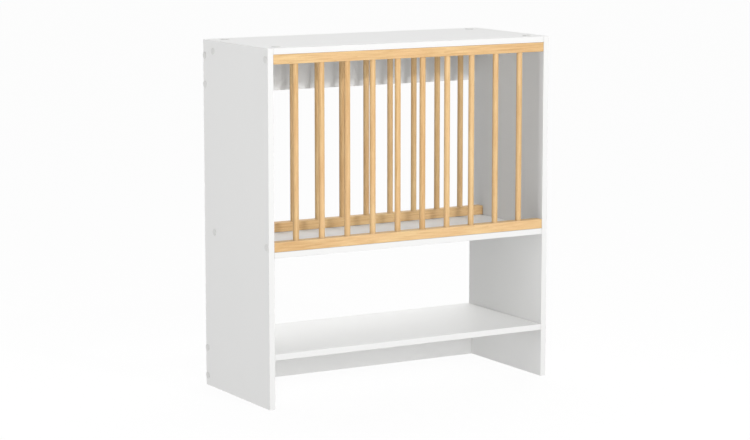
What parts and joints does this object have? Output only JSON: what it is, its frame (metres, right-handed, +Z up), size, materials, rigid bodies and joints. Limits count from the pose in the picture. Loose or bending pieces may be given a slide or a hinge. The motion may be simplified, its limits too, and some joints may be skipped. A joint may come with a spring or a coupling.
{
  "type": "wall-mounted plate rack",
  "caption": "Open white board rack with front and rear frames of wooden dowels that hold plates on edge, over an open shelf; fixed to a wall through its top back rail.",
  "frame": {"origin": "on the ground, under the middle of the rack's width and depth", "axes": "+X to the rack's right as seen from the front, +Y to the back (towards the wall), +Z up"},
  "size_m": [0.6524, 0.28, 0.7112],
  "materials": {
    "white_board": "satin white foil on board",
    "rail_wood": "clear matt lacquer, straight grain",
    "dowel_wood": "clear matt lacquer, straight grain",
    "capped_screw": "steel screw under a satin white plastic cap",
    "capped_cam": "zinc cam lock under a satin white plastic cap",
    "cam_zinc": "bare die-cast zinc"
  },
  "bodies": {
    "root": {"side_panel_left": "white_board", "side_panel_right": "white_board", "top_panel": "white_board", "middle_shelf": "white_board", "lower_shelf": "white_board", "top_back_rail": "white_board", "lower_back_rail": "white_board", "front_top_rail": "rail_wood", "front_bottom_rail": "rail_wood", "rear_top_rail": "rail_wood", "rear_bottom_rail": "rail_wood", "front_dowel_01": "dowel_wood", "front_dowel_02": "dowel_wood", "front_dowel_03": "dowel_wood", "front_dowel_04": "dowel_wood", "front_dowel_05": "dowel_wood", "front_dowel_06": "dowel_wood", "front_dowel_07": "dowel_wood", "front_dowel_08": "dowel_wood", "front_dowel_09": "dowel_wood", "front_dowel_10": "dowel_wood", "rear_dowel_01": "dowel_wood", "rear_dowel_02": "dowel_wood", "rear_dowel_03": "dowel_wood", "rear_dowel_04": "dowel_wood", "rear_dowel_05": "dowel_wood", "rear_dowel_06": "dowel_wood", "rear_dowel_07": "dowel_wood", "rear_dowel_08": "dowel_wood", "rear_dowel_09": "dowel_wood", "rear_dowel_10": "dowel_wood", "screw_left_front_top_rail": "capped_screw", "screw_left_front_bottom_rail": "capped_screw", "screw_left_rear_top_rail": "capped_screw", "screw_left_rear_bottom_rail": "capped_screw", "screw_left_top_back_rail_upper": "capped_screw", "screw_left_top_back_rail_lower": "capped_screw", "screw_left_lower_back_rail_upper": "capped_screw", "screw_left_lower_back_rail_lower": "capped_screw", "screw_right_front_top_rail": "capped_screw", "screw_right_front_bottom_rail": "capped_screw", "screw_right_rear_top_rail": "capped_screw", "screw_right_rear_bottom_rail": "capped_screw", "screw_right_top_back_rail_upper": "capped_screw", "screw_right_top_back_rail_lower": "capped_screw", "screw_right_lower_back_rail_upper": "capped_screw", "screw_right_lower_back_rail_lower": "capped_screw", "cam_top_panel_left_front": "capped_cam", "cam_top_panel_left_rear": "capped_cam", "cam_top_panel_right_front": "capped_cam", "cam_top_panel_right_rear": "capped_cam", "cam_middle_shelf_left_front": "cam_zinc", "cam_middle_shelf_left_rear": "cam_zinc", "cam_middle_shelf_right_front": "cam_zinc", "cam_middle_shelf_right_rear": "cam_zinc", "cam_lower_shelf_left_front": "cam_zinc", "cam_lower_shelf_left_rear": "cam_zinc", "cam_lower_shelf_right_front": "cam_zinc", "cam_lower_shelf_right_rear": "cam_zinc"}
  },
  "joints": []
}
